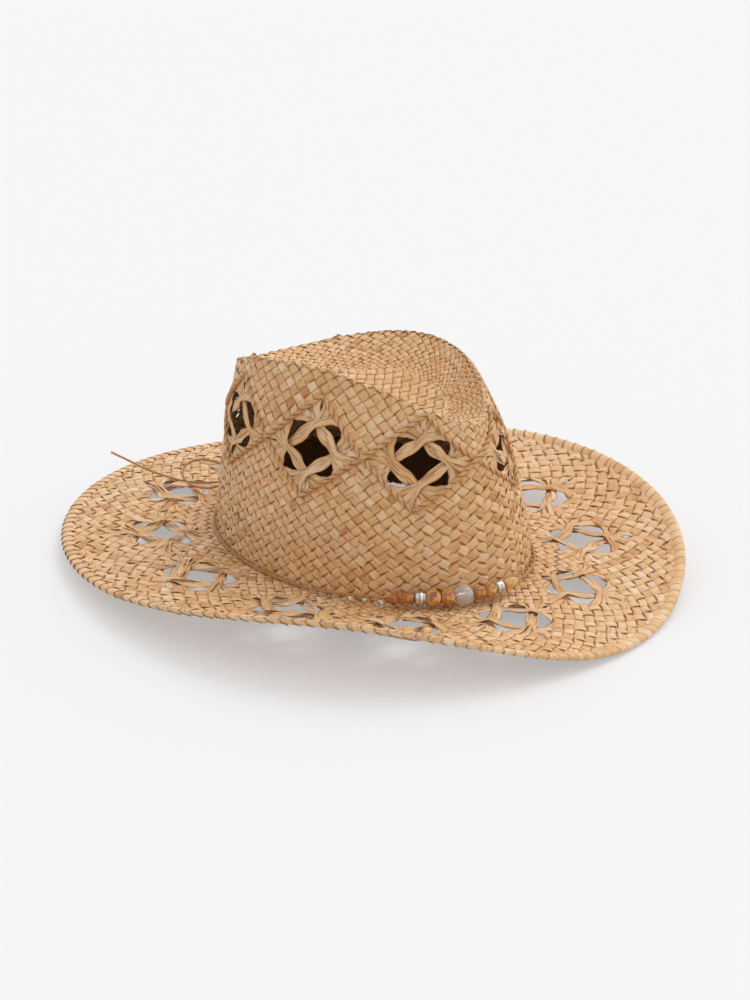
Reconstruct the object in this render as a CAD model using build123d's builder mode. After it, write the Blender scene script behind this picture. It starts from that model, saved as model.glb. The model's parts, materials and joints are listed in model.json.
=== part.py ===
"""Cowboy hat of plaited paper straw: openwork crown and brim, rolled edge over a
plastic wire, sweatband, and a waxed cord round the crown that carries nine beads.

Millimetres. The wearer looks along -Y, their left is +X, +Z is up. The origin is the
middle of the brim's outline, on the surface that the hat stands on.
"""
from build123d import *
from math import atan2, cos, hypot, pi, radians, sin, sqrt, tan
import os

os.makedirs("parts", exist_ok=True)

# --- driving dimensions -------------------------------------------------------------
straw = 2.0                  # thickness of the plait
brim_length = 390.0          # over the rolled edge, front to back
brim_width = 346.0           # over the rolled edge, side to side
crown_length = 210.0         # outside, where the crown meets the brim
crown_width = 164.0
crown_x = -3.0               # centre of the crown on the brim
crown_y = -6.0
rim_length = 166.0           # the crown's top ridge, front to back
rim_width = 120.0
rim_x = 3.0
rim_y = -3.0
rim_taper = 0.47             # how much narrower the ridge is at the front
ridge_end = 93.0             # height of the ridge at the front and the back
ridge_left = 103.0           # height of the ridge half way along each side
ridge_right = 118.0
dent_floor = 78.0            # lowest point of the crease in the crown
wall_curve = 1.6             # 1 is a straight wall, more stays upright for longer
wall_steps = 4               # outlines that the wall passes through, less one
brim_curve = 2.2             # how late the brim starts to rise

hem_fold = 1.0               # thickness of the strips folded over the edge
hem_width = 8.0
wire_width = 2.0             # plastic wire in the fold
wire_gap = 3.0               # between the wire's two ends
joiner_length = 24.0
joiner_wall = 0.35
joiner_crimp = 0.05          # gap between the joiner and the wire

sweatband_height = 26.0
sweatband_thickness = 0.9
sweatband_gap = 0.3          # to the crown

cord = 1.4                   # waxed cord round the crown
cord_gap = 0.4               # from the cord to the crown and the brim
cord_steps = 24              # points of its route
knot_angle = 189.0           # where it is tied, from the front towards the wearer's left
knot_length = 6.5
knot_width = 5.0
knot_run_in = 30.0           # the cord leaves the crown for it within this angle

bead_gap = 0.3               # between neighbours
bead_clearance = 0.35        # between a bead and the crown or the brim
bore_clearance = 0.35        # round the cord in a bead
bead_middle = 343.0          # angle of the middle of the row
bead_spread = 27.0           # the row lies level this far each way, in degrees
bead_run_in = 24.0           # and the cord comes back to the crown within this

crown_motifs = 8
brim_motifs = 12
crown_lace_height = 74.0
crown_motif_start = 0.055    # first motif, as a share of the way round the crown
crown_eye_width = 22.0
crown_eye_height = 17.0
brim_motif_angle = 24.0      # first motif of the brim
brim_eye_length = 20.0
brim_eye_width = 15.0
brim_eye_distance = 33.0     # from the crown to the middle of an eye
eye_cut = 16.0               # deep enough to pass through the sloping wall

tall = 300.0                 # longer than anything on the hat, for cutters


def brim_edge_lift(angle):
    """Height of the brim's edge above its level part, angle from the front in radians."""
    even = 4.0 + 6.7 * cos(angle) - 8.5 * cos(2 * angle) - 5.3 * cos(3 * angle)
    even += -2.2 * cos(4 * angle) - 1.0 * cos(5 * angle)
    odd = -0.6 * sin(angle) - 5.5 * sin(2 * angle) - 5.2 * sin(3 * angle)
    return even + odd


lowest_edge = min(brim_edge_lift(radians(angle)) for angle in range(360))
level = hem_fold - lowest_edge          # underside of the brim where it is level
crown_foot = level + straw              # the crown stands on the brim here
wire_room = joiner_wall + joiner_crimp  # round the wire, in the fold
brim_end = hem_fold + wire_width + 2 * wire_room


# --- outlines -----------------------------------------------------------------------
def crown_point(angle, height, inset=0.0):
    """Point of the crown's wall, angle from the front in degrees, height over its foot."""
    def outer(turn):
        end_share = cos(turn) ** 2
        side = (ridge_left + ridge_right) / 2 + (ridge_left - ridge_right) / 2 * sin(turn)
        ridge = ridge_end * end_share + side * (1 - end_share)
        blend = (max(height, 0) / ridge) ** wall_curve
        foot_x = crown_x + crown_width / 2 * sin(turn)
        foot_y = crown_y - crown_length / 2 * cos(turn)
        top_x = rim_x + rim_width / 2 * sin(turn) * (1 - rim_taper * cos(turn))
        top_y = rim_y - rim_length / 2 * cos(turn)
        return foot_x + (top_x - foot_x) * blend, foot_y + (top_y - foot_y) * blend

    turn = radians(angle)
    x, y = outer(turn)
    step = 0.01
    next_x, next_y = outer(turn + step)
    last_x, last_y = outer(turn - step)
    run = hypot(next_x - last_x, next_y - last_y)
    inward = (-(next_y - last_y) / run, (next_x - last_x) / run)
    return x + inward[0] * inset, y + inward[1] * inset


def crown_outline(height, inset=0.0):
    """Closed curve round the crown for the BuildLine it is called in."""
    return Spline([crown_point(angle, height, inset) for angle in range(0, 360, 20)], periodic=True)


def brim_height(x, y):
    """Underside of the brim over the surface it stands on."""
    away_x, away_y = x - crown_x, y - crown_y
    distance = hypot(away_x, away_y)
    if distance < 1:
        return level
    along_x, along_y = away_x / distance, away_y / distance
    foot = 1 / sqrt((along_x / (crown_width / 2)) ** 2 + (along_y / (crown_length / 2)) ** 2)
    half_x, half_y = brim_width / 2, brim_length / 2
    a = (along_x / half_x) ** 2 + (along_y / half_y) ** 2
    b = crown_x * along_x / half_x ** 2 + crown_y * along_y / half_y ** 2
    c = (crown_x / half_x) ** 2 + (crown_y / half_y) ** 2 - 1
    edge = (-b + sqrt(b * b - a * c)) / a
    edge_angle = atan2((crown_x + along_x * edge) / half_x, -(crown_y + along_y * edge) / half_y)
    share = min(max((distance - foot) / (edge - foot), 0), 1.1)
    return level + brim_edge_lift(edge_angle) * share ** brim_curve


# --- shapes that several pieces are cut from ----------------------------------------
def brim_sheet(under, over):
    """The brim's curved sheet, thicker by `under` below and `over` above."""
    stations = [brim_length / 2 * share / 7 for share in range(-8, 9)]
    across = [brim_width / 2 * share / 8 for share in range(-9, 10)]
    with BuildPart() as sheet:
        for y in stations:
            with BuildSketch(Plane.XZ.offset(-y)):
                with BuildLine():
                    top = Spline([(x, brim_height(x, y) + straw + over) for x in across])
                    low = Spline([(x, brim_height(x, y) - under) for x in across])
                    Line(top @ 0, low @ 0)
                    Line(top @ 1, low @ 1)
                make_face()
        loft()
    return sheet.part


def edge_ring(outer, inner):
    """Upright ring that follows the brim's outline, at two distances inside it."""
    with BuildPart() as ring:
        with BuildSketch():
            Ellipse(brim_width / 2 - outer, brim_length / 2 - outer)
            Ellipse(brim_width / 2 - inner, brim_length / 2 - inner, mode=Mode.SUBTRACT)
        extrude(amount=tall)
    return ring.part


def crown_block(inset, bottom, top):
    """Solid inside the crown's wall, between two heights over its foot."""
    with BuildPart() as block:
        for step in range(wall_steps + 1):
            height = bottom + (top - bottom) * step / wall_steps
            with BuildSketch(Plane.XY.offset(crown_foot + height)):
                with BuildLine():
                    crown_outline(height, inset)
                make_face()
        loft()
    return block.part


def crease(lower):
    """Everything above the dented top of the crown, from `lower` below its surface."""
    half = rim_length / 2
    side = (ridge_left + ridge_right) / 2
    lean = (ridge_left - ridge_right) / 2

    def surface(share, along):
        ends = (ridge_end - dent_floor) * along ** 2
        sides = (side - dent_floor) * share ** 2
        return crown_foot + dent_floor + ends + sides + lean * share * (1 - along ** 2) - lower

    with BuildPart() as tool:
        for along in (-1.25, -0.8, -0.4, 0, 0.4, 0.8, 1.25):
            half_width = rim_width / 2 * (1 + rim_taper * along)
            reach = rim_width * 0.8
            share = reach / half_width
            with BuildSketch(Plane.XZ.offset(-(rim_y + half * along))):
                with BuildLine():
                    left, middle, right = [surface(k, along) for k in (share, 0, -share)]
                    turn = 2 * middle - (left + right) / 2
                    valley = Bezier((rim_x + reach, left), (rim_x, turn), (rim_x - reach, right))
                    peak = max(left, right) + tall
                    Polyline(valley @ 0, (rim_x + reach, peak), (rim_x - reach, peak), valley @ 1)
                make_face()
        loft()
    return tool.part


# --- crown: one shell, open below, with an eye in the middle of each lace motif -------
crown_top = max(ridge_left, ridge_right) + 6
crease_wall = straw * 1.4               # measured straight down through a sloping wall

with BuildPart() as head_space:
    add(crown_block(straw, -1, crown_top))
    add(crease(crease_wall), mode=Mode.SUBTRACT)

with BuildLine() as lace_line:
    lace_outline = crown_outline(crown_lace_height)

with BuildPart() as crown:
    add(crown_block(0, 0, crown_top))
    add(crease(0), mode=Mode.SUBTRACT)
    add(head_space.part, mode=Mode.SUBTRACT)
    for motif in range(crown_motifs):
        share = (crown_motif_start + motif / crown_motifs) % 1
        spot = lace_outline.position_at(share)
        run = lace_outline.tangent_at(share)
        outward = run.cross(Vector(0, 0, 1))
        middle = Vector(spot.X, spot.Y, crown_foot + crown_lace_height) - outward * (eye_cut / 2)
        with BuildSketch(Plane(origin=middle, x_dir=run, z_dir=outward)):
            Ellipse(crown_eye_width / 2, crown_eye_height / 2)
        extrude(amount=eye_cut, mode=Mode.SUBTRACT)
crown.part.label = "crown"
export_step(crown.part, "parts/crown.step")

# --- brim: one sheet, with the head opening and the eyes of its lace ------------------
with BuildPart() as brim:
    add(brim_sheet(0, 0))
    with BuildSketch():
        Ellipse(brim_width / 2 - brim_end, brim_length / 2 - brim_end)
    extrude(amount=tall, mode=Mode.INTERSECT)
    add(crown.part, mode=Mode.SUBTRACT)
    with BuildSketch():
        with BuildLine():
            crown_outline(0, straw)
        make_face()
    extrude(amount=tall, mode=Mode.SUBTRACT)
    for motif in range(brim_motifs):
        angle = radians(brim_motif_angle + 360 * motif / brim_motifs)
        eye_x = crown_x + (crown_width / 2 + brim_eye_distance) * sin(angle)
        eye_y = crown_y - (crown_length / 2 + brim_eye_distance) * cos(angle)
        outward = Vector(eye_x - crown_x, eye_y - crown_y, 0)
        with BuildSketch(Plane(origin=(eye_x, eye_y, 0), x_dir=outward, z_dir=(0, 0, 1))):
            Ellipse(brim_eye_length / 2, brim_eye_width / 2)
        extrude(amount=tall, mode=Mode.SUBTRACT)
brim.part.label = "brim"
export_step(brim.part, "parts/brim.step")

# --- plastic wire round the edge, and the sleeve that joins its ends at the back ------
with BuildPart() as brim_wire:
    add(brim_sheet(-wire_room, -wire_room))
    with BuildSketch():
        for end, mode in ((hem_fold + wire_room, Mode.ADD), (brim_end - wire_room, Mode.SUBTRACT)):
            Ellipse(brim_width / 2 - end, brim_length / 2 - end, mode=mode)
        with Locations((0, brim_length / 2)):
            Rectangle(wire_gap, hem_width * 2, mode=Mode.SUBTRACT)
    extrude(amount=tall, mode=Mode.INTERSECT)
brim_wire.part.label = "brim_wire"
export_step(brim_wire.part, "parts/brim_wire.step")

with BuildPart() as joiner_bore:
    add(brim_sheet(-joiner_wall, -joiner_wall))
    add(edge_ring(hem_fold + joiner_wall, brim_end - joiner_wall), mode=Mode.INTERSECT)

with BuildPart() as wire_joiner:
    add(brim_sheet(0, 0))
    add(edge_ring(hem_fold, brim_end), mode=Mode.INTERSECT)
    with Locations((0, brim_length / 2, 0)):
        Box(joiner_length, hem_width * 2, tall, mode=Mode.INTERSECT)
    add(joiner_bore.part, mode=Mode.SUBTRACT)
wire_joiner.part.label = "wire_joiner"
export_step(wire_joiner.part, "parts/wire_joiner.step")

# --- rolled edge: strips folded round the wire and back over both faces of the brim ---
with BuildPart() as edge_core:
    add(brim_sheet(0, 0))
    add(edge_ring(hem_fold, hem_width * 2), mode=Mode.INTERSECT)

with BuildPart() as brim_hem:
    add(brim_sheet(hem_fold, hem_fold))
    add(edge_ring(0, hem_width), mode=Mode.INTERSECT)
    add(edge_core.part, mode=Mode.SUBTRACT)
brim_hem.part.label = "brim_hem"
export_step(brim_hem.part, "parts/brim_hem.step")

# --- sweatband inside the foot of the crown ---------------------------------------------
band_inset = straw + sweatband_gap
with BuildPart() as sweatband:
    add(crown_block(band_inset, 0, sweatband_height))
    add(crown_block(band_inset + sweatband_thickness, 0, sweatband_height), mode=Mode.SUBTRACT)
sweatband.part.label = "sweatband"
export_step(sweatband.part, "parts/sweatband.step")

# --- beads: width along the cord, largest radius, kind, in order from the wearer's right
beads = {
    "tube_bead_right": (12.4, 3.0, "tube"),
    "silver_bead_right": (6.4, 3.9, "ball"),
    "amber_bead_1": (7.6, 4.3, "nugget"),
    "amber_bead_2": (7.6, 4.7, "nugget"),
    "crystal_bead": (10.4, 5.7, "ball"),
    "amber_bead_3": (7.2, 4.1, "nugget"),
    "amber_bead_4": (6.8, 3.7, "nugget"),
    "silver_bead_left": (6.0, 3.6, "ball"),
    "tube_bead_left": (10.0, 3.1, "tube"),
}
largest_bead = max(radius for width, radius, kind in beads.values())


# --- route of the cord: against the crown, and out and up where the beads are ---------
def bead_share(angle):
    """1 along the row of beads, 0 where the cord lies against the crown."""
    away = abs((angle - bead_middle + 180) % 360 - 180)
    run_out = min(max((away - bead_spread) / bead_run_in, 0), 1)
    return 1 - run_out * run_out * (3 - 2 * run_out)


def cord_point(angle):
    """Corner of the cord's route beside the crown's foot."""
    corner = 1.1                        # an arc passes this far inside its corner
    near = cord / 2 + cord_gap
    from_knot = abs((angle - knot_angle + 180) % 360 - 180)
    at_knot = max(1 - from_knot / knot_run_in, 0)
    for_beads = (largest_bead + bead_clearance - near) * bead_share(angle)
    for_knot = (knot_width / 2 + cord_gap - near) * at_knot
    height = near + max(for_beads, for_knot)
    stand_off = height + corner
    x, y = crown_point(angle, height, -stand_off)
    return Vector(x, y, crown_foot + height)


def route_radii(points):
    """Largest arc for each corner: 0.45 of its shorter run over the tangent of half the turn."""
    radii = []
    for before, corner, after in zip(points, points[1:], points[2:]):
        run_in, run_out = corner - before, after - corner
        turn = radians(run_in.get_angle(run_out))
        radii.append(0.45 * min(run_in.length, run_out.length) / tan(turn / 2))
    return radii


def tube(points, diameter):
    """Cord along straight runs joined by arcs."""
    with BuildPart() as piece:
        with BuildLine() as path:
            FilletPolyline(*points, radius=route_radii(points))
        with BuildSketch(Plane(origin=path.line @ 0, z_dir=path.line % 0)):
            Circle(diameter / 2)
        sweep()
    return piece.part, path.wire()


tied = 1.0                              # half the angle between the ends inside the knot
turns = [knot_angle + tied + (360 - 2 * tied) * step / cord_steps for step in range(cord_steps + 1)]
band_points = [cord_point(angle) for angle in turns]
band_tube, band_line = tube(band_points, cord)

# --- knot at the back, on the cord's line -------------------------------------------
knot_place = (band_points[0] + band_points[-1]) / 2
knot_run = (band_points[0] - band_points[-1]).normalized()
with BuildPart() as band_knot:
    with BuildSketch(Plane(origin=knot_place, x_dir=knot_run, z_dir=(0, 0, 1))):
        with BuildLine():
            barrel = ThreePointArc((-knot_length / 2, cord), (0, knot_width / 2), (knot_length / 2, cord))
            Polyline(barrel @ 1, (knot_length / 2, 0), (-knot_length / 2, 0), barrel @ 0)
        make_face()
    revolve(axis=Axis(knot_place, knot_run))
band_knot.part.label = "band_knot"
export_step(band_knot.part, "parts/band_knot.step")

with BuildPart() as band_cord:
    add(band_tube)
    add(band_knot.part, mode=Mode.SUBTRACT)
band_cord.part.label = "band_cord"
export_step(band_cord.part, "parts/band_cord.step")

# --- free ends of the cord: one loop and two tails, from the knot ---------------------
bow_loop_points = [
    (-17, 101.5, 16), (-25, 104, 17.5), (-34, 102, 16.5), (-43, 103, 16.5), (-50, 110, 18),
    (-50, 119, 21), (-44, 126, 24.5), (-34, 126, 27), (-26, 119, 26), (-20, 110, 22.5), (-16, 101.5, 17),
]
tail_long_points = [
    (-17, 102, 14.5), (-26, 108, 15.5), (-36, 113, 15.5), (-45, 122, 15.5), (-50, 136, 16),
    (-56, 150, 18), (-60, 163, 21), (-65, 174, 24),
]
tail_short_points = [
    (-14, 102.5, 15), (-6, 108.5, 16.5), (7, 113, 16.5), (20, 114, 16), (32, 111.5, 16),
]
free_cords = {
    "bow_loop": bow_loop_points,
    "tail_long": tail_long_points,
    "tail_short": tail_short_points,
}
for name, points in free_cords.items():
    vectors = [Vector(*point) for point in points]
    cord_tube, line = tube(vectors, cord)
    with BuildPart() as free_cord:
        add(cord_tube)
        add(band_knot.part, mode=Mode.SUBTRACT)
    free_cord.part.label = name
    export_step(free_cord.part, f"parts/{name}.step")
    expected = line.length * pi * (cord / 2) ** 2
    print(name, "length", round(line.length, 1), "volume", round(cord_tube.volume, 1),
          "of", round(expected, 1), "radii", [round(radius, 1) for radius in route_radii(vectors)])
print("band_cord length", round(band_line.length, 1),
      "radii", [round(radius) for radius in route_radii(band_points)])


# --- the beads on the cord ------------------------------------------------------------
def middle_of_row():
    """Distance along the cord to the middle of the row of beads."""
    target = cord_point(bead_middle)
    steps = [band_line.length * share / 400 for share in range(401)]
    return min(steps, key=lambda step: (place_on_cord(step) - target).length)


def place_on_cord(distance):
    return band_line.position_at(distance, position_mode=PositionMode.LENGTH)


def bead_profile(kind, width, radius):
    """Half section of a bead about the local X axis, for the BuildLine it is called in."""
    half = width / 2
    bore = cord / 2 + bore_clearance
    if kind == "tube":
        end = radius * 0.72
        neck = half * 0.55
        top = Polyline((-half, end), (-neck, radius), (neck, radius), (half, end))
    elif kind == "nugget":
        end = radius * 0.62
        neck = half * 0.4
        top = Polyline((-half, end), (-neck, radius), (neck, radius), (half, end))
    else:
        end = sqrt(radius ** 2 - half ** 2)
        top = ThreePointArc((-half, end), (0, radius), (half, end))
    Polyline(top @ 1, (half, bore), (-half, bore), top @ 0)


row_length = sum(width for width, radius, kind in beads.values()) + bead_gap * (len(beads) - 1)
distance = middle_of_row() - row_length / 2
bead_axes = {}
for name, (width, radius, kind) in beads.items():
    centre_distance = distance + width / 2
    first, last = place_on_cord(distance), place_on_cord(distance + width)
    centre = ((first + last) / 2 + place_on_cord(centre_distance)) / 2
    run = (last - first).normalized()
    bead_axes[name] = (centre, run)
    flat_side = 0.9                     # a nugget's facets, as a share of its radius
    with BuildPart() as bead:
        with BuildSketch(Plane(origin=centre, x_dir=run, z_dir=(0, 0, 1))):
            with BuildLine():
                bead_profile(kind, width, radius)
            make_face()
        revolve(axis=Axis(centre, run))
        if kind == "nugget":
            with BuildSketch(Plane(origin=centre - run * (width / 2), z_dir=run)):
                RegularPolygon(radius * flat_side, 6, major_radius=False)
            extrude(amount=width, mode=Mode.INTERSECT)
    bead.part.label = name
    export_step(bead.part, f"parts/{name}.step")
    distance += width + bead_gap
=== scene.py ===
"""Woven straw cowboy hat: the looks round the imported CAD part, in its frame, in metres.

The wearer looks along -Y and their left is +X.
"""
import bpy
import json
import numpy as np
from math import atan2, cos, pi, radians, sin, sqrt
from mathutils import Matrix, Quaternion, Vector


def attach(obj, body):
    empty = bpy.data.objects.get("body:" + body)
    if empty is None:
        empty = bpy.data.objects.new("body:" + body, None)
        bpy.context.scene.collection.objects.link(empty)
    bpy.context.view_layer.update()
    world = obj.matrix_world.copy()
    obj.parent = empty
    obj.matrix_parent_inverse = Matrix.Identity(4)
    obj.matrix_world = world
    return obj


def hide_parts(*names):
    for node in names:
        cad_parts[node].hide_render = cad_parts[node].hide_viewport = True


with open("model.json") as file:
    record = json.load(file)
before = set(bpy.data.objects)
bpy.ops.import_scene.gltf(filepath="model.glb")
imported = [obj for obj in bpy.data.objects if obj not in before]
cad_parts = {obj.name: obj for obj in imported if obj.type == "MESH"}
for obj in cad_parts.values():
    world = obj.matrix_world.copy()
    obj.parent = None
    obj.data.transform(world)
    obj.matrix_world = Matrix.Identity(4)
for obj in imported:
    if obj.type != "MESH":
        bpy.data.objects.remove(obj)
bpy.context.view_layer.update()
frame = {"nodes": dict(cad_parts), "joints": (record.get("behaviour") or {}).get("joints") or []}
chance = np.random.default_rng(7)


# --- Camera, floor and light ----------------------------------------------------------
# The hat is seen from its front right and from above. The floor is pale, and the light
# is soft, with a wide lamp high on the wearer's left.
camera_distance = 1.29173
camera = bpy.data.objects.new("camera", bpy.data.cameras.new("camera"))
bpy.context.scene.collection.objects.link(camera)
bpy.context.scene.camera = camera
camera.data.lens = 78.96
camera.data.shift_x = 0.00625
camera.data.shift_y = 0.0305
camera_back = Vector((-0.5928, -0.7064, 0.3867)).normalized()
camera.location = Vector((0, 0, 0.0119)) + camera_back * camera_distance
camera.rotation_euler = (camera_back.to_track_quat("Z", "Y") @ Quaternion((0, 0, 1), radians(0.84))).to_euler()
bpy.context.scene.view_settings.view_transform = "Standard"


def colour(hex_code):
    """Linear colour with alpha of an sRGB hex code."""
    parts = [int(hex_code[place:place + 2], 16) / 255 for place in (1, 3, 5)]
    linear = [part / 12.92 if part <= 0.04045 else ((part + 0.055) / 1.055) ** 2.4 for part in parts]
    return (*linear, 1)


def add(tree, kind, sockets=(), **settings):
    """A new node. sockets maps its inputs, by name or place, to values or to other nodes' outputs."""
    node = tree.nodes.new(kind)
    for setting, value in settings.items():
        setattr(node, setting, value)
    for socket, value in dict(sockets).items():
        if isinstance(value, bpy.types.NodeSocket):
            tree.links.new(value, node.inputs[socket])
        else:
            node.inputs[socket].default_value = value
    return node


def new_material(name):
    """A material with its tree and its surface shader."""
    material = bpy.data.materials.new(name)
    material.use_nodes = True
    return material, material.node_tree, material.node_tree.nodes["Principled BSDF"]


def ramp(tree, factor, stops):
    """Colour output of a ramp. stops are (place, hex code)."""
    node = add(tree, "ShaderNodeValToRGB", {0: factor})
    elements = node.color_ramp.elements
    while len(elements) < len(stops):
        elements.new(0.5)
    for element, (place, code) in zip(elements, stops):
        element.position = place
        element.color = colour(code)
    return node.outputs["Color"]


# matt white board, seen by the camera as an even pale grey away from the shadow
floor_material, tree, shader = new_material("white board")
shader.inputs["Base Color"].default_value = colour("#F0F0F0")
shader.inputs["Roughness"].default_value = 0.9
shader.inputs["Specular IOR Level"].default_value = 0.1
# what the camera sees of the board is partly its own even white, which lightens the shadow
glow = add(tree, "ShaderNodeEmission", {"Color": colour("#F5F5F5")}).outputs[0]
seen = add(tree, "ShaderNodeLightPath").outputs
seen = add(tree, "ShaderNodeMath", {0: seen["Is Camera Ray"], 1: 0.42}, operation="MULTIPLY").outputs[0]
mixed = add(tree, "ShaderNodeMixShader", {0: seen, 1: shader.outputs[0], 2: glow}).outputs[0]
below = add(tree, "ShaderNodeNewGeometry").outputs["Backfacing"]
clear = add(tree, "ShaderNodeBsdfTransparent").outputs[0]
mixed = add(tree, "ShaderNodeMixShader", {0: below, 1: mixed, 2: clear}).outputs[0]
tree.links.new(mixed, tree.nodes["Material Output"].inputs["Surface"])
bpy.ops.mesh.primitive_plane_add(size=30, location=(0, 0, -0.0002))
floor = bpy.context.object
floor.name = "floor"
floor.data.materials.append(floor_material)

world = bpy.data.worlds.new("soft box")
bpy.context.scene.world = world
world.use_nodes = True
sky = world.node_tree.nodes["Background"]
sky.inputs["Color"].default_value = colour("#F9FAFD")
# brighter towards the wearer's left, where a wide window would be
way = add(world.node_tree, "ShaderNodeTexCoord").outputs["Generated"]
way = add(world.node_tree, "ShaderNodeVectorMath", {0: way, 1: (0.8, 0.1, 0.6)},
          operation="DOT_PRODUCT").outputs["Value"]
way = add(world.node_tree, "ShaderNodeMapRange", {"Value": way, "From Min": -0.5, "From Max": 0.9,
                                                  "To Min": 0.58, "To Max": 1.08}).outputs[0]
world.node_tree.links.new(way, sky.inputs["Strength"])
sun = bpy.data.objects.new("lamp", bpy.data.lights.new("lamp", "SUN"))
sun.data.energy = 0.85
sun.data.angle = radians(40)
sun.data.color = colour("#FFFAF4")[:3]
sun.rotation_euler = Vector((0.62, 0.1, 0.9)).to_track_quat("Z", "Y").to_euler()
bpy.context.scene.collection.objects.link(sun)


# --- How a strip of straw is made -----------------------------------------------------
# Every strip is a line with a facing, a width and a tone along it. One node group sweeps a
# lens-shaped section along all the lines of a piece and gives it its thickness.
sweep_tree = bpy.data.node_groups.new("swept strips", "GeometryNodeTree")
for name, kind, way in (("Lines", "NodeSocketGeometry", "INPUT"), ("Thickness", "NodeSocketFloat", "INPUT"),
                        ("Corners", "NodeSocketInt", "INPUT"), ("Material", "NodeSocketMaterial", "INPUT"),
                        ("Strips", "NodeSocketGeometry", "OUTPUT")):
    sweep_tree.interface.new_socket(name, in_out=way, socket_type=kind)
given = sweep_tree.nodes.new("NodeGroupInput").outputs
facing = add(sweep_tree, "GeometryNodeInputNamedAttribute", {"Name": "facing"}, data_type="FLOAT_VECTOR").outputs[0]
width = add(sweep_tree, "GeometryNodeInputNamedAttribute", {"Name": "width"}, data_type="FLOAT").outputs[0]
lift = add(sweep_tree, "GeometryNodeInputNamedAttribute", {"Name": "lift"}, data_type="FLOAT").outputs[0]
lines = add(sweep_tree, "GeometryNodeMeshToCurve", {"Mesh": given["Lines"]}).outputs[0]
lines = add(sweep_tree, "GeometryNodeSetCurveNormal", {"Curve": lines, "Normal": facing}, mode="FREE").outputs[0]
along = add(sweep_tree, "GeometryNodeSplineParameter").outputs["Length"]
lines = add(sweep_tree, "GeometryNodeStoreNamedAttribute",
            {"Geometry": lines, "Name": "along", "Value": along}, data_type="FLOAT", domain="POINT").outputs[0]
section = add(sweep_tree, "GeometryNodeCurvePrimitiveCircle",
              {"Resolution": given["Corners"], "Radius": 0.5}).outputs[0]
place = add(sweep_tree, "ShaderNodeSeparateXYZ", {0: add(sweep_tree, "GeometryNodeInputPosition").outputs[0]}).outputs
for name, value in (("across", place["X"]), ("lift", place["Y"])):
    section = add(sweep_tree, "GeometryNodeStoreNamedAttribute",
                  {"Geometry": section, "Name": name, "Value": value}, data_type="FLOAT", domain="POINT").outputs[0]
flat = add(sweep_tree, "ShaderNodeCombineXYZ", {"Y": place["X"]}).outputs[0]
section = add(sweep_tree, "GeometryNodeSetPosition", {"Geometry": section, "Position": flat}).outputs[0]
swept = add(sweep_tree, "GeometryNodeCurveToMesh",
            {"Curve": lines, "Profile Curve": section, "Scale": width, "Fill Caps": True}).outputs[0]
height = add(sweep_tree, "ShaderNodeMath", {0: lift, 1: given["Thickness"]}, operation="MULTIPLY").outputs[0]
rise = add(sweep_tree, "ShaderNodeVectorMath", {0: facing, "Scale": height}, operation="SCALE").outputs[0]
swept = add(sweep_tree, "GeometryNodeSetPosition", {"Geometry": swept, "Offset": rise}).outputs[0]
swept = add(sweep_tree, "GeometryNodeFlipFaces", {"Mesh": swept}).outputs[0]
swept = add(sweep_tree, "GeometryNodeSetShadeSmooth", {"Geometry": swept}).outputs[0]
swept = add(sweep_tree, "GeometryNodeRealizeInstances", {"Geometry": swept}).outputs[0]
swept = add(sweep_tree, "GeometryNodeSetMaterial", {"Geometry": swept, "Material": given["Material"]}).outputs[0]
add(sweep_tree, "NodeGroupOutput", {"Strips": swept})
sweep_inputs = {item.name: item.identifier for item in sweep_tree.interface.items_tree if item.in_out == "INPUT"}


def sweep(name, guides, thickness, material, corners=6, body="hat"):
    """One piece of swept strips. guides are (points, facings, widths, tone), one for each strip."""
    points = np.concatenate([guide[0] for guide in guides])
    counts = [len(guide[0]) for guide in guides]
    starts = np.concatenate([[0], np.cumsum(counts)[:-1]])
    edges = np.concatenate([np.stack([np.arange(count - 1), np.arange(1, count)], 1) + start
                            for start, count in zip(starts, counts)])
    mesh = bpy.data.meshes.new(name)
    mesh.from_pydata(points.tolist(), edges.tolist(), [])
    mesh.attributes.new("facing", "FLOAT_VECTOR", "POINT").data.foreach_set(
        "vector", np.concatenate([guide[1] for guide in guides]).ravel())
    mesh.attributes.new("width", "FLOAT", "POINT").data.foreach_set(
        "value", np.concatenate([guide[2] for guide in guides]))
    mesh.attributes.new("tone", "FLOAT", "POINT").data.foreach_set(
        "value", np.concatenate([np.full(len(guide[0]), guide[3]) for guide in guides]))
    piece = bpy.data.objects.new(name, mesh)
    bpy.context.scene.collection.objects.link(piece)
    modifier = piece.modifiers.new("sweep", "NODES")
    modifier.node_group = sweep_tree
    for socket, value in (("Thickness", thickness), ("Corners", corners), ("Material", material)):
        modifier[sweep_inputs[socket]] = value
    made = bpy.data.meshes.new_from_object(piece.evaluated_get(bpy.context.evaluated_depsgraph_get()))
    piece.modifiers.clear()
    piece.data = made
    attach(piece, body)
    return piece


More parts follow.
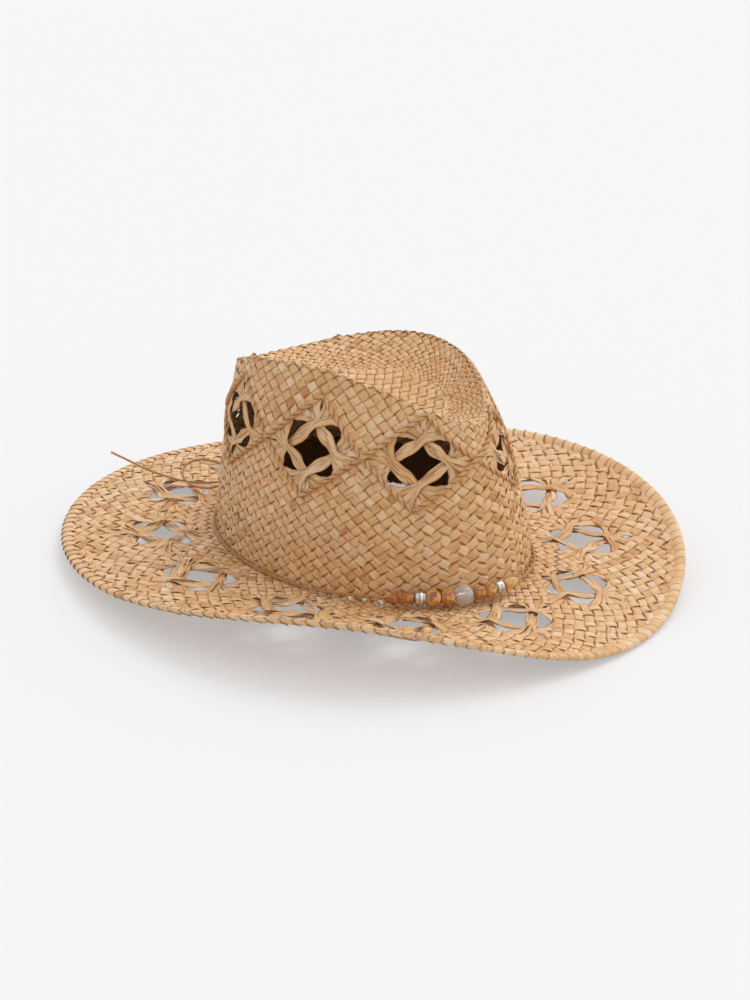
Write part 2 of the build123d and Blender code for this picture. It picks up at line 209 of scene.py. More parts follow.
def straw_material(name, stops, crease, roughness):
    """Straw with creases along each strip, with painted shade in the creases' hollows and towards each strip's edges.
    stops are the tones from one strip to another.

    Creases are about 0.6 mm apart and 9 mm long, and patches of one tone are 22 mm long.
    Real creases are finer, but wouldn't show.
    """
    material, tree, shader = new_material(name)
    tone = add(tree, "ShaderNodeAttribute", attribute_name="tone").outputs["Fac"]
    along = add(tree, "ShaderNodeAttribute", attribute_name="along").outputs["Fac"]
    across = add(tree, "ShaderNodeAttribute", attribute_name="across").outputs["Fac"]
    spot = add(tree, "ShaderNodeCombineXYZ", {
        0: add(tree, "ShaderNodeMath", {0: across, 1: 9.0}, operation="MULTIPLY").outputs[0],
        1: add(tree, "ShaderNodeMath", {0: along, 1: 110.0}, operation="MULTIPLY").outputs[0],
        2: add(tree, "ShaderNodeMath", {0: tone, 1: 90.0}, operation="MULTIPLY").outputs[0]}).outputs[0]
    creases = add(tree, "ShaderNodeTexNoise",
                  {"Vector": spot, "Scale": 1.0, "Detail": 3.0, "Roughness": 0.6}).outputs["Fac"]
    patch = add(tree, "ShaderNodeCombineXYZ", {
        0: across, 1: add(tree, "ShaderNodeMath", {0: along, 1: 45.0}, operation="MULTIPLY").outputs[0],
        2: add(tree, "ShaderNodeMath", {0: tone, 1: 50.0}, operation="MULTIPLY").outputs[0]}).outputs[0]
    patches = add(tree, "ShaderNodeTexNoise", {"Vector": patch, "Scale": 1.0, "Detail": 1.0}).outputs["Fac"]
    mixed = add(tree, "ShaderNodeMath", {0: patches, 1: tone}, operation="ADD").outputs[0]
    mixed = add(tree, "ShaderNodeMath", {0: mixed, 1: 0.5}, operation="MULTIPLY").outputs[0]
    base = ramp(tree, mixed, stops)
    # painted shade: the straw is darker in the hollows of the creases
    lines = ramp(tree, creases, ((0.3, "#A88D72"), (0.48, "#FFFFFF"), (0.8, "#FFFFFF")))
    base = add(tree, "ShaderNodeMixRGB", {"Fac": 0.6, "Color1": base, "Color2": lines},
               blend_type="MULTIPLY").outputs[0]
    # painted shade: each strip is darker towards its edges, where it bends down into the shadow between strips
    side = add(tree, "ShaderNodeMath", {0: across}, operation="ABSOLUTE").outputs[0]
    edge_shade = ramp(tree, side, ((0.40, "#FFFFFF"), (0.5, "#C79A6C")))
    base = add(tree, "ShaderNodeMixRGB", {"Fac": 0.7, "Color1": base, "Color2": edge_shade},
               blend_type="MULTIPLY").outputs[0]
    tree.links.new(base, shader.inputs["Base Color"])
    shader.inputs["Roughness"].default_value = roughness
    shader.inputs["Specular IOR Level"].default_value = 0.35
    bump = add(tree, "ShaderNodeBump", {"Height": creases, "Strength": crease, "Distance": 0.0006}).outputs[0]
    tree.links.new(bump, shader.inputs["Normal"])
    return material


# paper straw, light tan with a few golden and darker strips
straw = straw_material("paper straw", ((0.25, "#C98F55"), (0.42, "#E6B67F"), (0.6, "#EFC798"), (0.8, "#F5D6AE")),
                       0.6, 0.48)
# the same straw in darker tones, with stronger creases, for the twisted strips
twisted_straw = straw_material("twisted paper straw", ((0.25, "#C08548"), (0.5, "#DFAE78"), (0.8, "#EDC597")),
                               0.8, 0.5)


# --- Sheets that the strips lie in ----------------------------------------------------
# A sheet is a grid of points: its first way goes round the hat, a strip to a unit, and its
# second goes up the crown or out over the brim. A diamond of lace is eight strips wide.
brim_level = 0.009912                       # underside of the brim beside the crown
crown_foot = brim_level + 0.002
brim_half_width, brim_half_length = 0.173, 0.195
crown_x, crown_y = -0.003, -0.006           # middle of the crown's foot
foot_half_width, foot_half_length = 0.082, 0.105
rim_x, rim_y = 0.003, -0.003                # middle of the crown's ridge
rim_half_width, rim_half_length = 0.060, 0.083
rim_taper = 0.47                            # how much narrower the ridge is in front
wall_curve = 1.6                            # over 1, the wall stays upright for longer
ridge_end, ridge_side, ridge_tilt = 0.093, 0.1105, 0.0075
lace_height = 0.074                         # side corners of the crown's diamonds, over its foot
crease_floor, crease_end, crease_side = 0.078, 0.015, 0.0325
patch_share = 0.60                          # where the strips from the wall end in the crease
crown_strips, crown_low, crown_high = 64, -12, 13
brim_strips, brim_low, brim_high = 96, -4.7, 7.1


class Sheet:
    """Grid of points round the hat with a count of strips, from a low to a high mark.

    Strips lie at a depth of sink in it.
    """
    def __init__(self, points, low, high, count, sink=0.0):
        self.points, self.low, self.high, self.count, self.sink = points, low, high, count, sink
        self.steps = (points.shape[0] / count, (points.shape[1] - 1) / (high - low))
        self.across = (np.roll(points, -1, 0) - np.roll(points, 1, 0)) * self.steps[0] / 2
        self.up = np.gradient(points, axis=1) * self.steps[1]

    def read(self, grid, u, v):
        """Values of a grid at places u round the hat and v up the sheet."""
        column = (u % self.count) * self.steps[0]
        row = np.clip((v - self.low) * self.steps[1], 0, grid.shape[1] - 1.001)
        a, b = column.astype(int) % grid.shape[0], row.astype(int)
        s, t = (column - column.astype(int))[:, None], (row - b)[:, None]
        c = (a + 1) % grid.shape[0]
        return (grid[a, b] * (1 - s) + grid[c, b] * s) * (1 - t) + (grid[a, b + 1] * (1 - s) + grid[c, b + 1] * s) * t

    def at(self, u, v):
        """Points, facings, and the pitches of the rising and the falling strips."""
        points, across, up = (self.read(grid, u, v) for grid in (self.points, self.across, self.up))
        normal = np.cross(across, up)
        area = np.linalg.norm(normal, axis=1)
        rising, falling = (across + up) / 2, (across - up) / 2
        pitches = [area / 2 / np.linalg.norm(step, axis=1) for step in (rising, falling)]
        return points, normal / area[:, None], *pitches


def ridge_height(angle):
    """Height of the crown's ridge over its foot."""
    end_share = cos(angle) ** 2
    return ridge_end * end_share + (ridge_side - ridge_tilt * sin(angle)) * (1 - end_share)


def foot_point(angle):
    """Point of the crown's foot, seen from above."""
    return crown_x + foot_half_width * sin(angle), crown_y - foot_half_length * cos(angle)


def rim_point(angle):
    """Point of the crown's ridge, seen from above."""
    return rim_x + rim_half_width * sin(angle) * (1 - rim_taper * cos(angle)), rim_y - rim_half_length * cos(angle)


def crease_height(length, side, floor_height):
    """Height inside the ridge. length and side are shares of the way from its middle."""
    return floor_height + crease_end * length ** 2 + crease_side * side ** 2 - ridge_tilt * side * (1 - length ** 2)


def crown_profile(angle, marks):
    """Points up the crown's wall and down into its crease, where the sheet has these marks."""
    ridge = ridge_height(angle)
    tip = lace_height + (ridge - lace_height) * (1 - 0.35 * (1 - cos(angle) ** 2))
    at_ridge = 4 * (ridge - lace_height) / (tip - lace_height)
    height = np.interp(marks, (crown_low, 0, at_ridge), (0, lace_height, ridge))
    blend = (height / ridge) ** wall_curve
    wall_x, wall_y = foot_point(angle)
    top_x, top_y = rim_point(angle)
    inner = patch_share ** np.clip((marks - at_ridge) / (marks[-1] - at_ridge), 0, 1)
    length, side = -cos(angle) * inner, sin(angle) * inner
    x = np.where(marks < at_ridge, wall_x + (top_x - wall_x) * blend,
                 rim_x + side * rim_half_width * (1 + rim_taper * length))
    y = np.where(marks < at_ridge, wall_y + (top_y - wall_y) * blend, rim_y + rim_half_length * length)
    z = np.where(marks < at_ridge, height, crease_height(length, side, crease_floor))
    points = np.stack([x, y, z + crown_foot], 1)
    # the ridge is rounded over a strip's width or so
    near_ridge = np.exp(-((marks - at_ridge) / 1.2) ** 2)[:, None]
    padded = np.concatenate([points[:1]] * 6 + [points] + [points[-1:]] * 6)
    smooth = np.stack([np.convolve(padded[:, axis], np.ones(13) / 13, "valid") for axis in range(3)], 1)
    return points * (1 - near_ridge) + smooth * near_ridge


def crown_angles(columns):
    """Angles from the front that share the wall evenly at the height of its lace."""
    fine = np.linspace(0, 2 * pi, 3601)
    ring = np.array([crown_profile(angle, np.array([0, crown_high]))[0] for angle in fine])
    run = np.concatenate([[0], np.cumsum(np.linalg.norm(np.diff(ring, axis=0), axis=1))])
    first_diamond = 0.055 - 4 / crown_strips
    return np.interp((np.arange(columns) / columns + first_diamond) % 1, run / run[-1], fine)


def brim_point(angle, share, over=0.001):
    """Point of the brim at a share of the way from the crown to its edge, over its underside."""
    way = Vector((0.115 * sin(angle), -0.138 * cos(angle))).normalized()
    foot = 1 / sqrt((way.x / foot_half_width) ** 2 + (way.y / foot_half_length) ** 2)
    # the edge is where a line from the crown's middle meets the brim's ellipse
    a = (way.x / brim_half_width) ** 2 + (way.y / brim_half_length) ** 2
    b = crown_x * way.x / brim_half_width ** 2 + crown_y * way.y / brim_half_length ** 2
    c = (crown_x / brim_half_width) ** 2 + (crown_y / brim_half_length) ** 2 - 1
    edge = (-b + sqrt(b * b - a * c)) / a
    turn = atan2((crown_x + way.x * edge) / brim_half_width, -(crown_y + way.y * edge) / brim_half_length)
    lift = (4.0 + 6.7 * cos(turn) - 8.5 * cos(2 * turn) - 5.3 * cos(3 * turn) - 2.2 * cos(4 * turn)
            - 1.0 * cos(5 * turn) - 0.6 * sin(turn) - 5.5 * sin(2 * turn) - 5.2 * sin(3 * turn)) / 1000
    reach = foot + (edge - foot) * share
    height = brim_level + lift * max(share, 0) ** 2.2 + over
    return (crown_x + way.x * reach, crown_y + way.y * reach, height)


crown_marks = np.linspace(crown_low, crown_high, 251)
crown_sheet = Sheet(np.array([crown_profile(angle, crown_marks) for angle in crown_angles(512)]),
                    crown_low, crown_high, crown_strips, 0.0009)
brim_marks = np.linspace(brim_low, brim_high, 119)
brim_shares = np.interp(brim_marks, (brim_low, -4, 0, 4, brim_high), (-0.02, 0.04, 0.345, 0.72, 0.985))
brim_columns = 480
brim_start = 24 - 15                        # angle of the first corner between two diamonds
brim_sheet = Sheet(np.array([[brim_point(radians(brim_start + 360 * column / brim_columns), share)
                              for share in brim_shares] for column in range(brim_columns)]),
                   brim_low, brim_high, brim_strips)


# --- Woven straw of the crown and the brim --------------------------------------------
# Strips rise one way and fall the other, over and under by turns. In a diamond of lace each
# four strips are gathered into a bundle, which leaves the holes between the bundles.
def gather(place):
    """How far strips spread in a bundle, at a place 0 to 8 across a diamond."""
    places, spreads = (0, 0.4, 2.1, 4, 5.9, 7.6, 8), (1, 0.62, 0.13, 0.3, 0.13, 0.62, 1)
    soft = np.stack([np.interp(place + step, places, spreads) for step in (-0.2, 0, 0.2)])
    return np.clip(soft.mean(0), min(spreads), 1)


# how far strips stand over each other in plain weave, bundles over bundles where they cross,
# and the strips of a bundle over their neighbours
weave_lift, bundle_lift, stack_lift = 0.00048, 0.0011, 0.0004


def strip_line(sheet, own, low, high, rising, amount):
    """Guide of one strip, with an amount of points to each crossing. own is its place among its like."""
    marks = np.arange(2 * low - 1, 2 * high + 1, 1 / amount)
    other = own + marks if rising else own - marks
    sway = chance.uniform(0, 2 * pi, 4)
    block = np.floor(own / 8)
    inside = np.floor(other / 8) == block
    spread = np.where(inside, gather(other - 8 * block), 1.0)
    middle = 8 * block + (2 if own - 8 * block < 4 else 6)
    # strips wander a little from side to side
    shifted = (middle + (own - middle) * spread
               + 0.06 * np.sin(0.83 * other + sway[0]) + 0.035 * np.sin(2.1 * other + sway[1]))
    u, v = (shifted + other) / 2, (other - shifted) / 2
    if not rising:
        v = -v
    keep = (v >= low) & (v <= high)
    points, normals, pitch_rising, pitch_falling = sheet.at(u, v)
    pitch = pitch_rising if rising else pitch_falling
    turn = 1 if rising else -1
    bundle = 8 * block + np.where(other - 8 * block < 4, 2, 6)
    # plain weave goes over and under by turns, and whole bundles cross in the lace
    plain = np.cos(pi * ((own - 0.5) + (other - 0.5))) * turn
    node = np.exp(-((other - bundle) / 0.9) ** 2) * np.where((middle + bundle) % 8 < 1, 1, -1) * turn
    loose = np.clip((spread - 0.3) / 0.5, 0, 1)
    stack = (own - middle) * stack_lift * (1 - loose)
    offset = plain * weave_lift * loose + node * bundle_lift * (1 - loose) + stack
    widths = pitch * (0.5 + 0.56 * np.clip(spread * 1.1, 0, 1) ** 1.3) * (1 + 0.06 * np.sin(1.9 * other + sway[2]))
    tilt = (np.radians(28) * (1 - loose) * np.sin(own * 7.3 + other * 1.7)
            + np.radians(5) * loose * np.sin(1.3 * other + sway[3]))
    tangents = np.gradient(points, axis=0)
    tangents /= np.linalg.norm(tangents, axis=1)[:, None] + 1e-12
    sideways = np.cross(normals, tangents)
    facings = normals * np.cos(tilt)[:, None] + sideways * np.sin(tilt)[:, None]
    return points + normals * (offset - sheet.sink)[:, None], facings, widths, keep


def runs(keep):
    """Start and end of each unbroken run of kept points."""
    padded = np.concatenate([[False], keep, [False]]).astype(int)
    changes = np.flatnonzero(np.diff(padded))
    return [(start, end) for start, end in zip(changes[::2], changes[1::2]) if end - start > 2]


def woven(name, sheet, low, high, rising, amount):
    """A piece of all the strips that go one way over a sheet."""
    guides = []
    for index in range(sheet.count):
        points, facings, widths, keep = strip_line(sheet, index + 0.5, low, high, rising, amount)
        tone = chance.normal(0.5, 0.16)
        slack = 1 + chance.normal(0, 0.035)
        for start, end in runs(keep):
            guides.append((points[start:end], facings[start:end], widths[start:end] * slack, tone))
    return sweep(name, guides, strip_thickness, straw)


strip_thickness = 0.00055
crown_rising = woven("crown_straw_rising", crown_sheet, crown_low, 12.9, True, 5)
crown_falling = woven("crown_straw_falling", crown_sheet, crown_low, 12.9, False, 5)
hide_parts("crown")
brim_rising = woven("brim_straw_rising", brim_sheet, -4.6, 6.8, True, 6)
brim_falling = woven("brim_straw_falling", brim_sheet, -4.6, 6.8, False, 6)
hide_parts("brim")
# The weave starts as a plain patch in the middle of the crease, under the ends of the rest.
patch_pitch = 0.0054
patch_strips = 14                           # each way from the middle
patch_guides = []
for way in (1, -1):
    for index in range(-patch_strips, patch_strips + 1):
        run = np.arange(-patch_strips, patch_strips, 0.14)
        a, b = (index + 0.5) * patch_pitch, run * patch_pitch
        x, y = (a + b) / sqrt(2), (b - a) * way / sqrt(2)
        length, side = y / rim_half_length, x / (rim_half_width * (1 + rim_taper * y / rim_half_length))
        height = crown_foot + crease_height(length, side, crease_floor - 0.001)
        over = np.cos(pi * (index + 0.5 + run)) * way * 0.0004
        points = np.stack([rim_x + x, rim_y + y, height + over], 1)
        slope = np.stack([(ridge_tilt * (1 - length ** 2) - 2 * crease_side * side) / rim_half_width,
                          -2 * crease_end * length / rim_half_length, np.ones(len(run))], 1)
        facings = slope / np.linalg.norm(slope, axis=1)[:, None]
        tone = chance.normal(0.5, 0.16)
        for start, end in runs(length ** 2 + side ** 2 < (patch_share + 0.06) ** 2):
            patch_guides.append((points[start:end], facings[start:end], np.full(end - start, patch_pitch), tone))
crown_patch = sweep("crown_straw_patch", patch_guides, strip_thickness, straw)


# --- Twisted borders of the lace ------------------------------------------------------
# Two thin strips twisted together run along every side of the diamonds, so they cross at
# the diamonds' side corners and make a zigzag above and below the lace.
def twisted(centres, normals, radius, turn_length, width, tone, start=0.0):
    """Guides of two strips twisted round a line."""
    tangents = np.gradient(centres, axis=0)
    tangents /= np.linalg.norm(tangents, axis=1)[:, None]
    sideways = np.cross(normals, tangents)
    run = np.concatenate([[0], np.cumsum(np.linalg.norm(np.diff(centres, axis=0), axis=1))])
    guides = []
    for strand in (0, pi):
        turn = start + 2 * pi * run / turn_length + strand
        facings = sideways * np.cos(turn)[:, None] + normals * np.sin(turn)[:, None]
        guides.append((centres + facings * radius, facings, np.full(len(run), width), tone + chance.normal(0, 0.05)))
    return guides


for name, sheet, raised in (("crown_lace_border", crown_sheet, 0.0012), ("brim_lace_border", brim_sheet, 0.0011)):
    guides = []
    for corner in range(0, sheet.count, 8):
        for side in (-1, 1):
            marks = np.linspace(-8, 8, 150)
            u, v = corner + marks / 2, side * marks / 2
            v = np.clip(v, sheet.low + 0.1, sheet.high)
            points, normals = sheet.at(u, v)[:2]
            points = points + normals * (raised - sheet.sink + 0.0003 * side)
            guides += twisted(points, normals, radius=0.0007, turn_length=0.0105, width=0.0023, tone=0.5,
                              start=chance.uniform(0, pi))
    border = sweep(name, guides, thickness=0.0013, material=twisted_straw)


# --- Rolled edge of the brim ----------------------------------------------------------
# Wide strips wrap slantwise over the edge, each lapping the one before it, from the top
# of the brim round to its underside.
wraps = 158
wrap_lean, wrap_lap = 0.011, 0.045          # how far a wrap slants, and its tilt over the next one
edge_radius = 0.18                          # mean radius of the brim's edge
brim_reach = 90                             # from the crown to the edge, in millimetres
# how far in from the edge and how far over the underside a wrap goes, in millimetres
fold = ((6.8, 1.0), (5.8, 1.75), (4.3, 2.2), (2.8, 2.3), (1.7, 2.2), (0.85, 1.85), (0.45, 1.2),
        (0.6, 0.4), (1.5, -0.2), (3.5, -0.5), (5.5, -0.45), (7.4, -0.1), (8.4, 0.5))
guides = []
for wrap in range(wraps):
    points = []
    # wraps slant on the flat of the brim and go straight over its edge
    lean = wrap_lean * (1 + chance.normal(0, 0.12))
    for step, (inward, over) in enumerate(fold):
        slant = float(np.interp(step, (0, 3.4, 8.6, 12), (-0.3, -0.03, 0.04, 0.45)))
        angle = 2 * pi * wrap / wraps + lean / edge_radius * slant
        points.append(brim_point(angle, 1 - inward / brim_reach, over / 1000))
    points = np.array(points)
    tangents = np.gradient(points, axis=0)
    tangents /= np.linalg.norm(tangents, axis=1)[:, None]
    behind, ahead = (np.array(brim_point(2 * pi * (wrap + half) / wraps, 1.0)) for half in (-0.5, 0.5))
    ahead = ahead - behind
    pitch = np.linalg.norm(ahead)
    facings = np.cross(tangents, ahead / pitch)
    facings /= np.linalg.norm(facings, axis=1)[:, None]
    middle = points.mean(0)
    if (facings * (points - middle)).sum() < 0:
        facings = -facings
    lap = np.cross(tangents, facings) * wrap_lap
    facings = facings + lap
    facings /= np.linalg.norm(facings, axis=1)[:, None]
    widths = np.full(len(points), pitch * 1.13 * (1 + chance.normal(0, 0.05)))
    guides.append((points, facings, widths, chance.normal(0.56, 0.14)))
hem = sweep("rolled_edge", guides, thickness=0.0005, material=straw)
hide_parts("brim_hem")

# extruded plastic, smooth and slightly clear, hidden in the rolled edge, clouded every 17 mm
plastic, tree, shader = new_material("clear plastic wire")
place = add(tree, "ShaderNodeTexCoord").outputs["Object"]
cloud = add(tree, "ShaderNodeTexNoise", {"Vector": place, "Scale": 60.0}).outputs["Fac"]
tree.links.new(ramp(tree, cloud, ((0.3, "#D8D4C8"), (0.7, "#E6E3DA"))), shader.inputs["Base Color"])
shader.inputs["Roughness"].default_value = 0.3
for name in ("brim_wire", "wire_joiner"):
    frame["nodes"][name].data.materials.clear()
    frame["nodes"][name].data.materials.append(plastic)


# --- Sweatband ------------------------------------------------------------------------
# A ribbed cotton band stands inside the crown's foot and is sewn on with a row of long
# stitches near its lower edge.
def wall_point(angle, height, inset=0.0):
    """Point of the crown's outside at a height over its foot, moved inwards by inset."""
    def outer(turn):
        blend = (max(height, 0) / ridge_height(turn)) ** wall_curve
        return Vector(foot_point(turn)).lerp(Vector(rim_point(turn)), blend)

    run = (outer(angle + 0.01) - outer(angle - 0.01)).normalized()
    place = outer(angle) + Vector((-run.y, run.x)) * inset
    return (place.x, place.y, crown_foot + height)


# cotton band with ribs 1.2 mm apart and a yarn of about 1 mm, coarser than real so that it shows
cotton, tree, shader = new_material("ribbed cotton")
place = add(tree, "ShaderNodeUVMap", uv_map="band").outputs[0]
ribs = add(tree, "ShaderNodeTexWave", {"Vector": place, "Scale": 260.0, "Distortion": 0.3},
           bands_direction="X").outputs["Fac"]
weave = add(tree, "ShaderNodeTexNoise", {"Vector": place, "Scale": 900.0, "Detail": 2.0}).outputs["Fac"]
# painted shade: the band's dark brown matches the shaded inside of the crown, which shows through the lace
base = ramp(tree, weave, ((0.3, "#6E4A2A"), (0.7, "#8A6240")))
tree.links.new(base, shader.inputs["Base Color"])
shader.inputs["Roughness"].default_value = 0.85
shader.inputs["Sheen Weight"].default_value = 0.15
bump = add(tree, "ShaderNodeBump", {"Height": ribs, "Strength": 0.5, "Distance": 0.0003}).outputs[0]
tree.links.new(bump, shader.inputs["Normal"])

around = 240                                # columns of the band
# how far in from the crown's outside and how high each point of its section is
section = ([(0.0032, h) for h in np.linspace(0.0008, 0.0252, 8)] + [(0.0029, 0.0259), (0.0026, 0.0259)]
           + [(0.0023, h) for h in np.linspace(0.0252, 0.0008, 8)] + [(0.0026, 0.0002), (0.0029, 0.0002)])
corners = [wall_point(2 * pi * step / around, height, inset) for step in range(around) for inset, height in section]
size = len(section)
faces = []
for column in range(around):
    this, following = column * size, (column + 1) % around * size
    for row in range(size):
        above = (row + 1) % size
        faces.append((this + row, this + above, following + above, following + row))
band_mesh = bpy.data.meshes.new("sweatband_cloth")
band_mesh.from_pydata(corners, [], faces)
uv = band_mesh.uv_layers.new(name="band")
for face in band_mesh.polygons:
    for corner in face.loop_indices:
        vertex = band_mesh.loops[corner].vertex_index
        column = vertex // size + (around if face.index // size == around - 1 and vertex // size == 0 else 0)
        uv.data[corner].uv = (column * 0.0024, section[vertex % size][1])
band_mesh.materials.append(cotton)
band_mesh.shade_smooth()
sweatband = bpy.data.objects.new("sweatband_cloth", band_mesh)
bpy.context.scene.collection.objects.link(sweatband)
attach(sweatband, "hat")
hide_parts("sweatband")

# cotton thread, its plies 0.7 mm apart
thread, tree, shader = new_material("cotton thread")
along = add(tree, "ShaderNodeAttribute", attribute_name="along").outputs["Fac"]
twist = add(tree, "ShaderNodeMath", {0: along, 1: 9000.0}, operation="MULTIPLY").outputs[0]
twist = add(tree, "ShaderNodeMath", {0: twist}, operation="SINE").outputs[0]
# painted shade: darker bands between the plies
tree.links.new(ramp(tree, twist, ((0.0, "#8A6238"), (0.6, "#B98F5C"))), shader.inputs["Base Color"])
shader.inputs["Roughness"].default_value = 0.8
stitch_count, stitch_height = 132, 0.003
guides = []
for stitch in range(stitch_count):
    first = 2 * pi * stitch / stitch_count
    points, facings = [], []
    for step, out in ((0, -0.0003), (0.12, 0.0002), (0.5, 0.0003), (0.76, 0.0002), (0.88, -0.0003)):
        angle = first + 2 * pi / stitch_count * step
        point = wall_point(angle, stitch_height, 0.0032 + out)
        inwards = np.subtract(wall_point(angle, stitch_height, 0.0132), point)
        points.append(point)
        facings.append(inwards / np.linalg.norm(inwards))
    guides.append((np.array(points), np.array(facings), np.full(5, 0.0005), 0.5))
stitches = sweep("sweatband_stitches", guides, 0.0005, thread, corners=8)


# --- Waxed cord, its knot, the bow's loop and the tails -------------------------------
# One thin cord goes round the crown's foot through the beads, is tied at the back and
# leaves the knot as a loop and two ends.
cord_width = 0.0014
cord_gap = 0.0004                           # from the cord to the crown and the brim
weave_proud = 0.0011                        # the woven strips stand this far out of the wall
# waxed cotton cord, a little shiny, twisted with a ply every 1.2 mm
waxed, tree, shader = new_material("waxed cord")
place = add(tree, "ShaderNodeSeparateXYZ", {0: add(tree, "ShaderNodeTexCoord").outputs["Object"]}).outputs
slant = add(tree, "ShaderNodeMath", {0: place["X"], 1: place["Y"]}, operation="ADD").outputs[0]
slant = add(tree, "ShaderNodeMath", {0: slant, 1: place["Z"]}, operation="ADD").outputs[0]
slant = add(tree, "ShaderNodeMath", {0: slant, 1: 5200.0}, operation="MULTIPLY").outputs[0]
plies = add(tree, "ShaderNodeMath", {0: slant}, operation="SINE").outputs[0]
# painted shade: darker where the plies dip, in the grooves between them
base = ramp(tree, plies, ((0.0, "#A06A30"), (0.5, "#CC9250"), (1.0, "#D9A462")))
tree.links.new(base, shader.inputs["Base Color"])
shader.inputs["Roughness"].default_value = 0.45
shader.inputs["Coat Weight"].default_value = 0.2
bump = add(tree, "ShaderNodeBump", {"Height": plies, "Strength": 0.5, "Distance": 0.0001}).outputs[0]
tree.links.new(bump, shader.inputs["Normal"])


def cord_curve(name, points, closed=False):
    """A round cord along control points in metres."""
    data = bpy.data.curves.new(name, "CURVE")
    data.dimensions = "3D"
    data.bevel_depth = cord_width / 2
    data.bevel_resolution = 3
    data.resolution_u = 8
    data.use_fill_caps = True
    line = data.splines.new("NURBS")
    line.points.add(len(points) - 1)
    for control, point in zip(line.points, points):
        control.co = (*point, 1)
    line.order_u = 3
    line.use_endpoint_u = not closed
    line.use_cyclic_u = closed
    data.materials.append(waxed)
    piece = bpy.data.objects.new(name, data)
    bpy.context.scene.collection.objects.link(piece)
    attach(piece, "hat")
    return piece


def cord_corner(angle):
    """Corner of the cord's route beside the crown's foot, out and up where the beads are."""
    near = cord_width / 2 + cord_gap
    from_beads = abs((angle - bead_middle + 180) % 360 - 180)
    from_knot = abs((angle - knot_angle + 180) % 360 - 180)
    run_out = min(max((from_beads - bead_spread) / bead_run_in, 0), 1)
    for_beads = (largest_bead + bead_clearance - near) * (1 - run_out * run_out * (3 - 2 * run_out))
    for_knot = (knot_radius + cord_gap - near) * max(1 - from_knot / knot_run_in, 0)
    height = near + max(for_beads, for_knot)
    return wall_point(radians(angle), height, -height - weave_proud)


# angles are in degrees from the front towards the wearer's left
largest_bead, bead_clearance = 0.0057, 0.00035
bead_middle, bead_spread, bead_run_in = 343, 27, 24
knot_angle, knot_radius, knot_run_in = 189, 0.0025, 30
band_points = [cord_corner(190 + 358 * step / 24) for step in range(25)]
band_cord = cord_curve("cord_round_crown", band_points)
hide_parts("band_cord")

# control points of the loop and of the two ends, in millimetres
free_cords = {
    "bow_loop": ((-17, 101.5, 16), (-25, 104, 17.5), (-34, 102, 16.5), (-43, 103, 16.5), (-50, 110, 18), (-50, 119, 21),
                 (-44, 126, 24.5), (-34, 126, 27), (-26, 119, 26), (-20, 110, 22.5), (-16, 101.5, 17)),
    "tail_long": ((-17, 102, 14.5), (-26, 108, 15.5), (-36, 113, 15.5), (-45, 122, 15.5), (-50, 136, 16),
                  (-56, 150, 18), (-60, 163, 21), (-65, 174, 24)),
    "tail_short": ((-14, 102.5, 15), (-6, 108.5, 16.5), (7, 113, 16.5), (20, 114, 16), (32, 111.5, 16)),
}
for name, length, far_end in (("bow_loop", 0.0969, "knot"), ("tail_long", 0.091, "bare"),
                              ("tail_short", 0.0489, "bare")):
    points = [[value / 1000 for value in point] for point in free_cords[name]]
    piece = cord_curve(name + "_cord", points)
    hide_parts(name)

knot_place = (Vector(band_points[0]) + Vector(band_points[-1])) / 2
knot_run = (Vector(band_points[0]) - Vector(band_points[-1])).normalized()
knot_length, knot_coil, knot_turns = 0.0052, 0.0017, 3.5
up = Vector((0, 0, 1))
knot_out = knot_run.cross(up)
turns = []
for step in range(97):
    share = step / 96
    turn = 2 * pi * knot_turns * share
    spread = sin(pi * min(max(share, 0.04), 0.96)) ** 0.4
    turns.append(knot_place + knot_run * (share - 0.5) * knot_length
                 + (knot_out * cos(turn) + up * sin(turn)) * knot_coil * spread)
knot = cord_curve("cord_knot", turns)
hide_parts("band_knot")


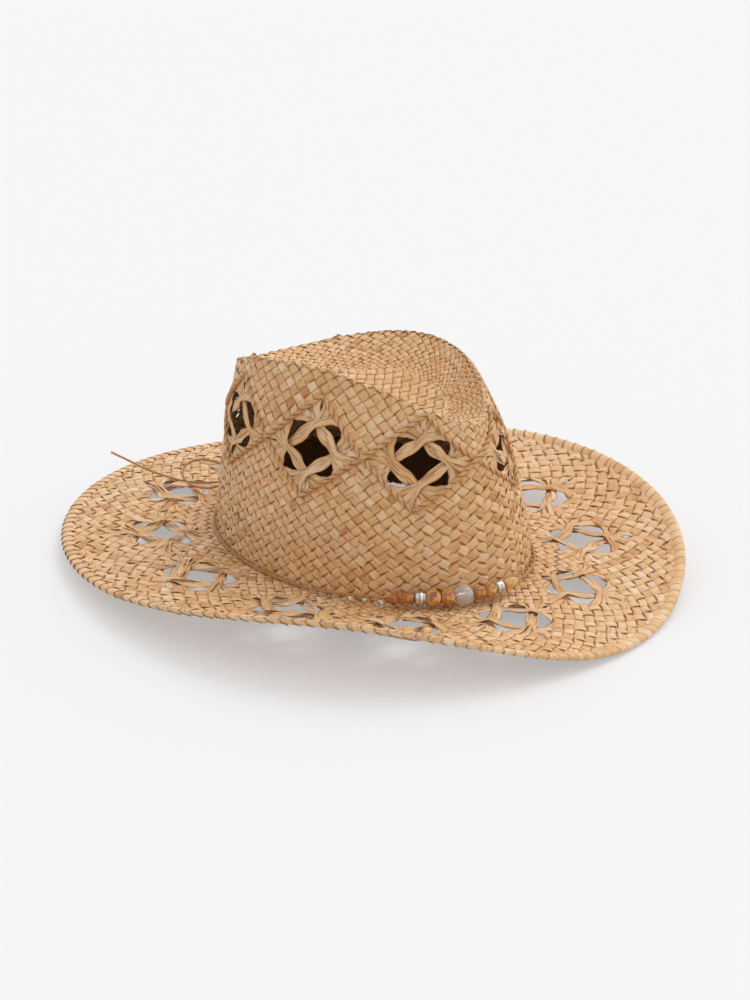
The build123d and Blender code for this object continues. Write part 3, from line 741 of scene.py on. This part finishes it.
# --- Beads ----------------------------------------------------------------------------
# Nine beads spin on the cord in front: two ribbed tubes, two cast silver balls, four
# amber-brown nuggets and one clear crystal. Each keeps the part's own shape.
# Clouds in them are about 5 mm wide, rings 2.4 mm apart and facets 4 mm wide.
bead_kinds = {
    "tube_bead_right": "brown", "silver_bead_right": "silver", "amber_bead_1": "amber", "amber_bead_2": "amber",
    "crystal_bead": "crystal", "amber_bead_3": "amber", "amber_bead_4": "amber", "silver_bead_left": "silver",
    "tube_bead_left": "gold",
}
for joint in frame["joints"]:
    name, centre, axis = joint["child"], joint["pos_m"], joint["axis"]
    kind = bead_kinds[name]
    material, tree, shader = new_material(name + " " + kind)
    place = add(tree, "ShaderNodeTexCoord").outputs["Object"]
    from_centre = add(tree, "ShaderNodeVectorMath", {0: place, 1: centre}, operation="SUBTRACT").outputs[0]
    along = add(tree, "ShaderNodeVectorMath", {0: from_centre, 1: axis}, operation="DOT_PRODUCT").outputs["Value"]
    cloud = add(tree, "ShaderNodeTexNoise",
                {"Vector": from_centre, "Scale": 210.0, "Detail": 2.0, "Distortion": 0.4}).outputs["Fac"]
    rings = add(tree, "ShaderNodeMath", {0: along, 1: 2600.0}, operation="MULTIPLY").outputs[0]
    rings = add(tree, "ShaderNodeMath", {0: rings}, operation="SINE").outputs[0]
    if kind == "silver":                # cast silver, grey in its grooves
        tree.links.new(ramp(tree, rings, ((0.0, "#B9B8B4"), (0.5, "#F2F1EE"))), shader.inputs["Base Color"])
        shader.inputs["Metallic"].default_value = 1.0
        shader.inputs["Roughness"].default_value = 0.28
        height, deep = rings, 0.25
    elif kind == "crystal":             # clear cut glass with a pale pink cast
        shader.inputs["Base Color"].default_value = colour("#FFFAF8")
        shader.inputs["Transmission Weight"].default_value = 0.72
        shader.inputs["Roughness"].default_value = 0.06
        shader.inputs["IOR"].default_value = 1.52
        height, deep = cloud, 0.03
    elif kind == "amber":               # polished amber-brown stone, clouded, with painted light on its facets
        # painted light: each facet gets its own tone, from dark brown to pale cream, in place of lit and shaded faces
        # and their highlights; the clouds are the stone's own colour
        facets = add(tree, "ShaderNodeTexVoronoi", {"Vector": place, "Scale": 230.0})
        tone = add(tree, "ShaderNodeMix", {0: 0.7, 2: facets.outputs["Color"], 3: cloud}).outputs[0]
        tree.links.new(ramp(tree, tone, ((0.32, "#9A5214"), (0.46, "#D08028"), (0.58, "#EBA84C"), (0.7, "#FFE6B4"))),
                       shader.inputs["Base Color"])
        shader.inputs["Roughness"].default_value = 0.08
        shader.inputs["Coat Weight"].default_value = 1.0
        shader.inputs["Transmission Weight"].default_value = 0.2
        height, deep = facets.outputs["Distance"], 0.6
    else:                               # moulded resin tube, ringed
        stops = ((0.35, "#8A4A1C"), (0.62, "#CC8440")) if kind == "brown" else ((0.35, "#C48A3C"), (0.65, "#EBC27C"))
        tree.links.new(ramp(tree, cloud, stops), shader.inputs["Base Color"])
        shader.inputs["Roughness"].default_value = 0.25
        height, deep = rings, 0.35
    tree.links.new(add(tree, "ShaderNodeBump", {"Height": height, "Strength": deep, "Distance": 0.0004}).outputs[0],
                   shader.inputs["Normal"])
    bead = frame["nodes"][name]
    bead.data.materials.clear()
    bead.data.materials.append(material)
